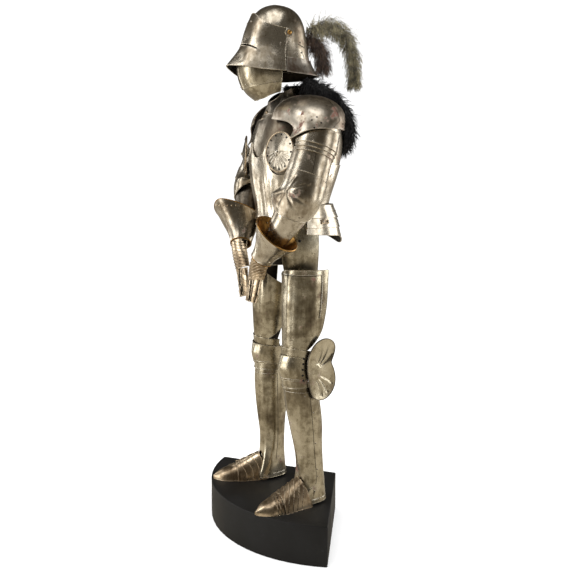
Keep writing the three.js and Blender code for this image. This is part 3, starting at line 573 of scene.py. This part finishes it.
def add_rivets(piece, spots, radius, material, body="suit"):
    """Rivet heads at spots on a piece."""
    for place_on, normal in spots:
        heads[body].append(rivet(place_on, normal, radius, material))


def add_line(piece, spots, radius=0.0011, material=None):
    """A chased line, made part of its plate."""
    choose(bead_line("line", spots, radius, material or edge_steel), piece)
    bpy.ops.object.join()


def span(first, last, count):
    """Evenly spaced values from first to last."""
    return [first + (last - first) * i / (count - 1) for i in range(count)]


# Legs: cuisses with a chased border and a middle crease, lobed wings with struck flutes.
for side, hand in (("left", 1), ("right", -1)):
    cuisse = plate[f"cuisse_{side}"]
    add_line(cuisse, [spot(cuisse, hand * a, 0.94) for a in span(-50, 114, 34)], 0.0016)
    add_line(cuisse, [spot(cuisse, hand * a, s) for a, s in zip(span(114, 112, 18), span(0.94, 0.42, 18))],
             0.0016)
    # A nearly black line just under the bright border: painted shade beside the raised line.
    add_line(cuisse, [spot(cuisse, hand * a, 0.928) for a in span(-50, 111, 34)], 0.001, forge_scale_and_shade)
    add_line(cuisse, [spot(cuisse, hand * a, s) for a, s in zip(span(111, 109, 18), span(0.928, 0.42, 18))],
             0.001, forge_scale_and_shade)
    add_line(cuisse, [spot(cuisse, hand * a, 0.985) for a in span(-38, 120, 34)], 0.0008)
    raise_line(cuisse, [spot(cuisse, hand * 16, s) for s in span(0.1, 0.9, 14)], 0.003, 0.02)
    raise_line(cuisse, [spot(cuisse, hand * -20, s) for s in span(0.1, 0.86, 14)], -0.002, 0.016)
    add_rivets(cuisse, [spot(cuisse, hand * 117, 0.6)], 0.0042, rusted_steel)
    add_rivets(cuisse, [spot(cuisse, hand * a, 0.05) for a in (-40, 0, 60)], 0.0026, edge_steel)

    wing = plate[f"poleyn_wing_{side}"]
    low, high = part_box(f"poleyn_wing_{side}")
    wide, tall = high[1] - low[1], high[2] - low[2]
    hub = Vector((high[0] if hand > 0 else low[0], low[1] + 0.16 * wide, low[2] + 0.47 * tall))
    for back, up in ((0.36, 0.46), (0.58, 0.42), (0.74, 0.3), (0.34, -0.42), (0.56, -0.36), (0.74, -0.22)):
        bow = Vector((0, 0.12 * wide, 0))
        flute = [near(wing, hub + Vector((0, back * wide, up * tall)) * t + bow * math.sin(math.pi * t))
                 for t in span(0.3, 0.92, 12)]
        raise_line(wing, [(p, Vector((hand, 0, 0))) for p, n in flute], -0.0022, 0.006)
    knee = plate[f"poleyn_{side}"]
    add_rivets(knee, [spot(knee, hand * 92, s) for s in (0.08, 0.28, 0.5, 0.72, 0.92)], 0.004, hole_black)
    raise_line(knee, [spot(knee, 0, s) for s in span(0.06, 0.94, 9)], 0.003, 0.016)
    for piece in (knee, plate[f"poleyn_upper_lame_{side}"], plate[f"poleyn_lower_lame_{side}"]):
        add_line(piece, [spot(piece, a, 0.12) for a in span(-80, 80, 24)], 0.0009)
    greave = plate[f"greave_{side}"]
    raise_line(greave, [spot(greave, hand * 4, s) for s in span(0.3, 0.97, 16)], 0.003, 0.014)
    for a in (88, -88):
        add_line(greave, [spot(greave, a, s) for s in span(0.16, 0.93, 26)], 0.0009, forge_scale_and_shade)
    add_line(greave, [spot(greave, a, 0.93) for a in span(-86, 86, 26)], 0.0009)
    add_rivets(greave, [spot(greave, hand * a, s) for a, s in
                        ((94, 0.88), (94, 0.76), (95, 0.5), (95, 0.28), (70, 0.9), (-70, 0.9), (96, 0.22))],
               0.0028, rusted_steel)
    add_line(greave, [spot(greave, hand * a, 0.035) for a in span(74, 286, 30)], 0.0012)

# Trunk: a middle ridge down the breast, a border at the waist, fluting over the back.
FRONT = -11  # degrees: the trunk is turned a little to the wearer's right
BEHIND = FRONT + 180
breast, plackart = plate["breastplate_upper"], plate["breastplate_plackart"]
raise_line(breast, [spot(breast, FRONT, s) for s in span(0.1, 0.95, 12)], 0.003, 0.03)
raise_line(plackart, [spot(plackart, FRONT, s) for s in span(0.04, 0.8, 12)], 0.003, 0.03)
cusps = ((0, 0.93), (29, 0.88), (-29, 0.88), (68, 0.66), (-68, 0.66))
add_rivets(plackart, [spot(plackart, FRONT + a, s) for a, s in cusps], 0.0034, edge_steel)
add_line(plackart, [spot(plackart, a, 0.05) for a in span(-82, 60, 40)], 0.001)
for a in (24, 40, 56, 72):
    for way in (-1, 1):
        raise_line(plackart, [spot(plackart, FRONT + way * a, s) for s in span(0.1, 0.5, 8)], 0.0016, 0.012)
back = plate["backplate_upper"]
raise_line(back, [spot(back, BEHIND, s) for s in span(0.05, 0.95, 14)], -0.005, 0.03)
for a in (22, 40, 58):
    for way in (-1, 1):
        flute = zip(span(0.35, 1, 10), span(0.06, 0.8, 10))
        raise_line(back, [spot(back, BEHIND + way * a * t, s) for t, s in flute], 0.002, 0.012)
waist_back = plate["backplate_lower"]
raise_line(waist_back, [spot(waist_back, BEHIND, s) for s in span(0.05, 0.95, 10)], -0.004, 0.025)

# Shoulders: a besagew over each arm pit, with a ring of holes and fanned flutes below its stud.
DISC_RADIUS = 0.069
DISC_HOLES = 13
TRUNK_TURN = math.radians(-10.8)


def on_disc(disc, hub, facing, angle, share):
    """A place and normal on a round plate: angle from straight up, share of its radius."""
    across = Vector((0, 0, 1)).cross(facing).normalized()
    upright = facing.cross(across)
    reach = DISC_RADIUS * share
    turn = math.radians(angle)
    start = hub + across * reach * math.sin(turn) + upright * reach * math.cos(turn) + facing * 0.05
    hit, point, normal, _ = disc.ray_cast(start, -facing)
    return (point, normal) if hit else near(disc, start - facing * 0.05)


for side, hand in (("left", 1), ("right", -1)):
    disc = plate[f"besagew_{side}"]
    low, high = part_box(f"besagew_{side}")
    hub = (Vector(low) + Vector(high)) / 2
    facing = Vector((0.4 if hand > 0 else -0.24, -0.91, 0.06)).normalized()
    facing = Matrix.Rotation(TRUNK_TURN, 3, "Z") @ facing
    for i in range(DISC_HOLES):
        add_rivets(disc, [on_disc(disc, hub, facing, i * 360 / DISC_HOLES + 9, 0.86)], 0.0036, hole_black)
    for a in range(95, 270, 17):
        raise_line(disc, [on_disc(disc, hub, facing, a, t) for t in span(0.22, 0.78, 8)], -0.0022, 0.005)
    add_rivets(disc, [on_disc(disc, hub, facing, 0, 0.0)], 0.006, edge_steel)
    shoulder = plate[f"pauldron_{side}"]
    add_line(shoulder, [spot(shoulder, hand * 92, s) for s in span(0.04, 0.8, 24)], 0.0009, forge_scale_and_shade)
    # Rivets that are lost have left their holes.
    lost = ((50, 0.3), (50, 0.42), (42, 0.36), (92, 0.16), (120, 0.3), (30, 0.2))
    add_rivets(shoulder, [spot(shoulder, hand * a, s) for a, s in lost], 0.003, hole_black)
    add_line(shoulder, [spot(shoulder, hand * a, 0.09) for a in span(30, 150, 30)], 0.001)
    hip = plate[f"hip_plate_{side}"]
    add_rivets(hip, [spot(hip, hand * 62, 0.62)], 0.0055, hole_black)
    add_line(hip, [spot(hip, hand * a, 0.9) for a in span(50, 96, 14)], 0.001)
for i in (1, 2, 3):
    lame = plate[f"culet_{i}"]
    add_rivets(lame, [spot(lame, BEHIND + a, 0.5) for a in (-70, -36, 0, 36, 70)], 0.0026, edge_steel)
    add_line(lame, [spot(lame, BEHIND + a, 0.2) for a in span(-70, 70, 40)], 0.0009)
# A riveted hinge plate at each hip, rusted brown, where the culet's strap was hooked.
fittings = []
for azimuth in (80, 258):
    place_on, normal = spot(plate["culet_2"], azimuth, 0.5)
    turn = Vector(normal).to_track_quat("Z", "Y")
    bpy.ops.object.select_all(action="DESELECT")
    bpy.ops.mesh.primitive_cube_add(size=1, location=place_on + normal * 0.002, rotation=turn.to_euler(),
                                    scale=(0.038, 0.016, 0.004))
    fitting = bpy.context.active_object
    bpy.ops.object.transform_apply(location=True, rotation=True, scale=True)
    ease_edges(fitting, 0.0015, 2)
    fitting.data.materials.append(bronzed_steel)
    fittings.append(fitting)
    for step in (-0.012, 0.012):
        seat = place_on + normal * 0.004 + turn @ Vector((step, 0, 0))
        fittings.append(rivet(seat, normal, 0.0052, rusted_steel))
hinges = join_all(fittings, "hip_fittings")
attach(hinges, "suit")
collar = plate["gorget_front"]
add_rivets(collar, [spot(collar, a, 0.2) for a in (-60, -30, 10, 34, 52, 66)], 0.003, edge_steel)
add_line(collar, [spot(collar, a, 0.34) for a in span(-78, 78, 34)], 0.001)
# Two studs at the middle of the collar and of the breast, on which the plates are hooked.
add_rivets(collar, [spot(collar, -8, 0.4)], 0.0065, bronzed_steel)
add_rivets(breast, [spot(breast, FRONT, 0.95)], 0.0065, bronzed_steel)

# Arms: couters with flutes that fan from the elbow, cuffs with a middle crease and rivets,
# thin lames over the wrist, and scaled fingers.
for side, hand in (("left", 1), ("right", -1)):
    couter = plate[f"couter_{side}"]
    low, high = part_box(f"couter_{side}")
    low, high = Vector(low), Vector(high)
    # The flutes fan from a point beside the crook: over the elbow, up, and down into the wing.
    size = high - low
    hub = low + Vector((0.61 * size.x if hand > 0 else 0.39 * size.x, 0.13 * size.y, 0.6 * size.z))
    for across, back, up in ((0.96, 0.43, 0.73), (0.94, 0.51, 0.28), (0.81, 0.32, 0.1), (0.77, 0.25, 0.86),
                             (0.38, 0.04, 0.3), (0.3, 0.06, 0.5)):
        tip = low + Vector(((across if hand > 0 else 1 - across) * size.x, back * size.y, up * size.z))
        fan = [near(couter, hub.lerp(tip, t)) for t in span(0.05, 1, 14)]
        raise_line(couter, fan, 0.0026, 0.007)
    cannon = plate[f"upper_cannon_{side}"]
    add_line(cannon, [spot(cannon, hand * 60, s) for s in span(0.04, 0.9, 18)], 0.0008, forge_scale_and_shade)
    add_rivets(cannon, [spot(cannon, hand * a, 0.9) for a in (30, 75, 120)], 0.0026, edge_steel)
    for lame in ("upper", "middle", "lower"):
        band = plate[f"arm_{lame}_lame_{side}"]
        add_rivets(band, [spot(band, hand * a, 0.5) for a in (24, 140)], 0.0024, edge_steel)
    cuff = plate[f"gauntlet_cuff_{side}"]
    for a in (-60, -20, 20, 60):
        raise_line(cuff, [spot(cuff, a, s) for s in span(0.1, 0.6, 10)], 0.0018, 0.01)
    add_rivets(cuff, [spot(cuff, a, 0.86) for a in range(-80, 100, 20)], 0.0034, bronzed_steel)
    add_line(cuff, [spot(cuff, a, 0.1) for a in span(-100, 100, 24)], 0.001)
    # Grooves part the four fingers under their scales.
    scales = plate[f"gauntlet_fingers_{side}"]
    for a in (-60, -22, 16, 54, 92):
        groove = [spot(scales, a, s) for s in span(0.04, 0.9, 12)]
        raise_line(scales, groove, -0.004, 0.006)
        add_line(scales, [(p - n * 0.0022, n) for p, n in groove], 0.0014, forge_scale_and_shade)

# Helmet: the visor turns on two domed brass rivets; the sight is cut under its brow.
HEAD_FRONT = -8  # degrees: the head is turned a little to the wearer's right
HEAD_TURN = math.radians(HEAD_FRONT)
PIVOT = Vector((0, 0.022, 1.838))
EAR_REACH = 0.1135  # from the middle to the outside of the visor at its pivot
visor, skull, bevor = plate["helmet_visor"], plate["helmet_skull"], plate["bevor_face"]
for way in (-1, 1):
    # The visor's ear: a round washer on the pivot, under the rivet's head.
    axis = Matrix.Rotation(HEAD_TURN, 3, "Z") @ Vector((way, 0, 0))
    seat = PIVOT + axis * EAR_REACH
    bpy.ops.object.select_all(action="DESELECT")
    bpy.ops.mesh.primitive_cylinder_add(vertices=32, radius=0.015, depth=0.0025, location=seat,
                                        rotation=axis.to_track_quat("Z", "Y").to_euler())
    ear = bpy.context.active_object
    bpy.ops.object.transform_apply(location=True, rotation=True, scale=True)
    ease_edges(ear, 0.0008, 1)
    ear.data.materials.append(plate_steel)
    choose(ear, visor)
    bpy.ops.object.join()
    heads["visor"].append(rivet(seat + axis * 0.0012, axis, 0.0085, brass))
    for a, s in ((108, 0.36), (112, 0.3), (104, 0.2)):
        add_rivets(skull, [spot(skull, way * a + HEAD_FRONT, s)], 0.0028, hole_black)
    seam = zip(span(98, 122, 12), span(0.33, 0.29, 12))
    add_line(skull, [spot(skull, way * a + HEAD_FRONT, s) for a, s in seam], 0.001, forge_scale_and_shade)
    seam = [spot(skull, way * 108 + HEAD_FRONT, s) for s in span(0.05, 0.24, 10)]
    add_line(skull, seam, 0.0009, forge_scale_and_shade)
raise_line(visor, [spot(visor, HEAD_FRONT, s) for s in span(0.04, 0.96, 14)], 0.003, 0.02)
add_rivets(visor, [spot(visor, a + HEAD_FRONT, 0.84) for a in (-34, 34)], 0.003, edge_steel, "visor")
raise_line(bevor, [spot(bevor, HEAD_FRONT, s) for s in span(0.04, 0.96, 10)], 0.003, 0.018)
for a in (-46, -20, 20, 46):
    add_rivets(bevor, [spot(bevor, a + HEAD_FRONT, 0.14)], 0.003, edge_steel)
for body, pieces in heads.items():
    group = join_all(pieces, f"{body}_rivets")
    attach(group, body)

# ---- fur mantle ----
# Long black goat hair on its hide, laid over the shoulder blades and behind the collar.
# The hair hangs in pointed locks that cover one another.

LOCK_LENGTH = 0.06
LOCK_COUNT = 8000
RINGS = 5  # of points along each lock
THIRDS = (0, 2.094, 4.189)  # of a turn

fur, tree, shader, place = blank_material("long black goat hair")
strand = add_node(tree, NOISE, {"Scale": 260, "Detail": 3}, {"Vector": place})
tint = add_node(tree, RAMP, links={"Fac": strand}, stops=((0.35, "#020203"), (0.7, "#0B0B0E")))
tree.links.new(tint, shader.inputs["Base Color"])
shader.inputs["Roughness"].default_value = 0.62
shader.inputs["Sheen Weight"].default_value = 0.05

hide = copy_of("fur_mantle", "fur_hide")
bpy.ops.object.mode_set(mode="EDIT")
bpy.ops.mesh.select_all(action="SELECT")
bpy.ops.transform.shrink_fatten(value=-0.009)
bpy.ops.object.mode_set(mode="OBJECT")
bpy.ops.object.shade_smooth()
hide.data.materials.append(fur)
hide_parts("fur_mantle")
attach(hide, "suit")

draw = np.random.default_rng(4)


def scattered(part, count, rng):
    """Places and normals spread evenly over a part's solid."""
    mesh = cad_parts[part].data
    corners = np.array([[mesh.vertices[i].co[:] for i in p.vertices[:3]] for p in mesh.polygons])
    cross = np.cross(corners[:, 1] - corners[:, 0], corners[:, 2] - corners[:, 0])
    area = np.linalg.norm(cross, axis=1)
    chosen = rng.choice(len(area), count, p=area / area.sum())
    share = rng.random((count, 2))
    share[share.sum(axis=1) > 1] = 1 - share[share.sum(axis=1) > 1]
    picked = corners[chosen]
    first, second = picked[:, 1] - picked[:, 0], picked[:, 2] - picked[:, 0]
    return picked[:, 0] + share[:, :1] * first + share[:, 1:] * second, cross[chosen] / area[chosen][:, None]


def mesh_piece(name, points, faces, material):
    """A mesh of given points and faces, smooth, with a material."""
    mesh = bpy.data.meshes.new(name)
    mesh.from_pydata(points.tolist(), [], faces.tolist())
    mesh.update()
    piece = bpy.data.objects.new(name, mesh)
    bpy.context.scene.collection.objects.link(piece)
    mesh.materials.append(material)
    choose(piece)
    bpy.ops.object.shade_smooth()
    return piece


def locks(roots, leans, lengths, widths, rng):
    """Three-sided tapering locks that start along their lean and fall under their own weight."""
    count = len(roots)
    along = leans.copy()
    centre = roots.copy()
    side = np.cross(along, rng.normal(size=(count, 3)))
    side /= np.linalg.norm(side, axis=1)[:, None]
    rings = []
    for ring in range(RINGS):
        share = ring / (RINGS - 1)
        third = np.cross(along, side)
        third /= np.maximum(np.linalg.norm(third, axis=1), 1e-9)[:, None]
        wide = (widths * (1 - share) ** 0.7 + 0.00012)[:, None]
        rings.append([centre + wide * (math.cos(a) * side + math.sin(a) * third) for a in THIRDS])
        along = along + np.array([0, 0, -0.32]) + rng.normal(scale=0.16, size=(count, 3))
        along /= np.linalg.norm(along, axis=1)[:, None]
        centre = centre + along * (lengths / (RINGS - 1))[:, None]
    points = np.array(rings).transpose(2, 0, 1, 3).reshape(-1, 3)
    one = []
    for ring in range(RINGS - 1):
        for s in range(3):
            a, b = 3 * ring + s, 3 * ring + (s + 1) % 3
            one.append([a, b, b + 3, a + 3])
    faces = (np.arange(count)[:, None, None] * 3 * RINGS + np.array(one)[None]).reshape(-1, 4)
    return points, faces


roots, normals = scattered("fur_mantle", LOCK_COUNT, draw)
roots = roots - normals * 0.014
leans = 0.8 * normals + np.array([0, 0, -0.65]) + draw.normal(scale=0.34, size=normals.shape)
leans /= np.linalg.norm(leans, axis=1)[:, None]
lengths = LOCK_LENGTH * draw.uniform(0.45, 1.0, LOCK_COUNT)
points, faces = locks(roots, leans, lengths, draw.uniform(0.0009, 0.0019, LOCK_COUNT), draw)
hair = mesh_piece("fur_locks", points, faces, fur)
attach(hair, "suit")

# ---- plumes ----
# Two ostrich plumes dyed olive and brown, their quills pushed in a socket at the back of the skull.
# Each quill carries hundreds of drooping barbs with fine barbules.

# The quills' routes, in millimetres, before the head's turn.
long_route = [(8, 128, 1868), (8, 186, 1896), (6, 246, 1902), (2, 298, 1870), (0, 328, 1804), (0, 336, 1736),
              (0, 336, 1700)]
short_route = [(-18, 130, 1842), (-22, 170, 1850), (-24, 204, 1826), (-24, 217, 1784), (-24, 218, 1750)]
QUILL_STEPS = 60
BARB_STEPS = 7


def feather_material(name, dark, pale):
    """Dull fibres, paler at random along the plume."""
    material, tree, shader, place = blank_material(name)
    tone = add_node(tree, NOISE, {"Scale": 45, "Detail": 5, "Roughness": 0.7}, {"Vector": place})
    tint = add_node(tree, RAMP, links={"Fac": tone}, stops=((0.36, dark), (0.66, pale)))
    tree.links.new(tint, shader.inputs["Base Color"])
    shader.inputs["Roughness"].default_value = 0.75
    shader.inputs["Sheen Weight"].default_value = 0.2
    return material


def route_points(route, steps):
    """A smooth path through a route's points, in the helmet's turned frame."""
    given = [Vector(p) / 1000 for p in route]
    turn = Matrix.Translation(PIVOT) @ Matrix.Rotation(HEAD_TURN, 4, "Z") @ Matrix.Translation(-PIVOT)
    given = [turn @ p for p in given]
    padded = [2 * given[0] - given[1]] + given + [2 * given[-1] - given[-2]]
    made = []
    for i in range(steps + 1):
        t = i / steps * (len(given) - 1)
        k = min(int(t), len(given) - 2)
        u = t - k
        a, b, c, d = padded[k:k + 4]
        made.append(0.5 * (2 * b + (c - a) * u + (2 * a - 5 * b + 4 * c - d) * u ** 2
                           + (3 * b - a - 3 * c + d) * u ** 3))
    return made


def ribbon(points, faces, path, wide, across):
    """A thin tapering strip along a path."""
    first = len(points)
    last = len(path) - 1
    for i, p in enumerate(path):
        half = across * wide * (1 - 0.85 * i / last)
        points += [p - half, p + half]
    for i in range(last):
        k = first + 2 * i
        faces.append([k, k + 1, k + 3, k + 2])


def plume(name, route, reach, barbs, material, part, rng):
    """A quill with barbs to both sides, which droop, each with a fringe of barbules."""
    path = route_points(route, QUILL_STEPS)
    points, faces = [], []
    for i in range(len(path) - 1):
        ribbon(points, faces, path[i:i + 2], 0.0012, Vector((1, 0, 0)))
        ribbon(points, faces, path[i:i + 2], 0.0012, Vector((0, 0.7, 0.7)))
    for b in range(barbs):
        t = 0.04 + 0.96 * (b / barbs)
        i = min(int(t * QUILL_STEPS), QUILL_STEPS - 1)
        along = (path[i + 1] - path[i]).normalized()
        spin = rng.uniform(0, 2 * math.pi)
        flat = Vector((math.cos(spin), 0.55 * math.sin(spin), 0.75 * math.sin(spin)))
        side = (flat - along * flat.dot(along)).normalized()
        fullness = 0.5 + 0.5 * math.sin(math.pi * min(1, 0.1 + 0.86 * t)) ** 0.6
        size = reach * fullness * rng.uniform(0.6, 1.1)
        place_at = path[i].lerp(path[i + 1], t * QUILL_STEPS - i)
        heading = (side * 1.2 + along * 0.6).normalized()
        barb = [place_at]
        for step in range(BARB_STEPS):
            heading = (heading + Vector((0, 0, -0.2)) + Vector(rng.normal(scale=0.1, size=3))).normalized()
            place_at = place_at + heading * size / BARB_STEPS
            barb.append(place_at)
        ribbon(points, faces, barb, 0.0011, along)
        for k in range(1, BARB_STEPS + 1):
            for way in (-1, 1):
                lean = (along.cross(heading) * way + Vector(rng.normal(scale=0.5, size=3))).normalized()
                tip = barb[k] + (lean * 0.8 + (barb[k] - barb[k - 1]).normalized() * 0.7
                                 + Vector((0, 0, -0.3))) * rng.uniform(0.006, 0.012)
                ribbon(points, faces, [barb[k], tip], 0.0008, heading.cross(lean).normalized())
    piece = mesh_piece(name, np.array([p[:] for p in points]), np.array(faces), material)
    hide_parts(part)
    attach(piece, "suit")
    return piece


# Ostrich barbs dyed olive: matt, dark and straw-coloured in patches at random.
olive_feather = feather_material("olive ostrich feather", "#3A3322", "#A59B78")
brown_feather = feather_material("brown ostrich feather", "#2A1C13", "#705845")
long_plume = plume("plume_long_barbs", long_route, 0.06, 1250, olive_feather, "plume_long", draw)
short_plume = plume("plume_short_barbs", short_route, 0.062, 640, brown_feather, "plume_short", draw)

# ---- floor, lights and camera ----
# A white floor in a dim room. Softboxes stand in front, behind and to both sides, and two hang above.

FLOOR_SIZE = 30
CHEST = 1.15  # height that most softboxes face
CAMERA_DOWN, CAMERA_ROUND = 7.2, 59.33  # degrees
bpy.ops.object.select_all(action="DESELECT")
bpy.ops.mesh.primitive_plane_add(size=FLOOR_SIZE, location=(0, 0, 0))
floor = bpy.context.active_object
floor.name = "studio_floor"
# White to the eye, but grey in the steel's reflections, as the dark room round the floor would be.
floor_paint, tree, shader, _ = blank_material("white studio floor")
mirrored = add_node(tree, "ShaderNodeLightPath", output="Is Glossy Ray")
tint = add_node(tree, MIX, {**COLOURS, 6: colour("#FFFFFF"), 7: colour("#A69F92")}, {0: mirrored}, output=2)
tree.links.new(tint, shader.inputs["Base Color"])
shader.inputs["Roughness"].default_value = 1.0
shader.inputs["Specular IOR Level"].default_value = 0.0
floor.data.materials.append(floor_paint)

world = bpy.data.worlds.new("studio")
bpy.context.scene.world = world
world.use_nodes = True
tree = world.node_tree
background = tree.nodes["Background"]
mirrored = add_node(tree, "ShaderNodeLightPath", output="Is Glossy Ray")
tint = add_node(tree, MIX, {**COLOURS, 6: colour("#FFFFFF"), 7: colour("#4E4A43")}, {0: mirrored}, output=2)
tree.links.new(tint, background.inputs["Color"])
background.inputs["Strength"].default_value = 1.12


def softbox(name, place_at, target, wide, tall, watts):
    """A rectangular softbox that faces a target."""
    bpy.ops.object.select_all(action="DESELECT")
    facing = (Vector(target) - Vector(place_at)).to_track_quat("-Z", "Y").to_euler()
    bpy.ops.object.light_add(type="AREA", location=place_at, rotation=facing)
    lamp = bpy.context.active_object
    lamp.name = name
    lamp.data.shape = "RECTANGLE"
    lamp.data.size = wide
    lamp.data.size_y = tall
    lamp.data.energy = watts


softbox("softbox_front", (-0.7, -3.2, 1.6), (0, 0, CHEST), 1.5, 2.8, 46)
softbox("softbox_left", (-2.9, -1.5, 1.7), (0, 0, CHEST), 1.2, 2.6, 26)
softbox("softbox_side", (2.9, 2.1, 1.6), (0, 0, CHEST), 1.2, 2.6, 27)
softbox("softbox_top", (0.8, -0.6, 4.2), (0, 0, CHEST), 2.0, 2.0, 26)
softbox("softbox_high", (-0.5, -2.3, 3.8), (0, 0, 1.7), 1.3, 1.6, 24)
softbox("softbox_back", (0.4, 3.2, 1.8), (0, 0, CHEST), 1.8, 2.6, 52)

bpy.ops.object.select_all(action="DESELECT")
bpy.ops.object.camera_add(location=(2.428, -1.385, 1.292),
                          rotation=(math.radians(90 - CAMERA_DOWN), 0, math.radians(CAMERA_ROUND)))
camera = bpy.context.active_object
camera.data.lens = 47.37
camera.data.sensor_width = 36
bpy.context.scene.camera = camera

bpy.data.objects.remove(rivet_head)
bpy.context.scene.view_settings.view_transform = "Standard"
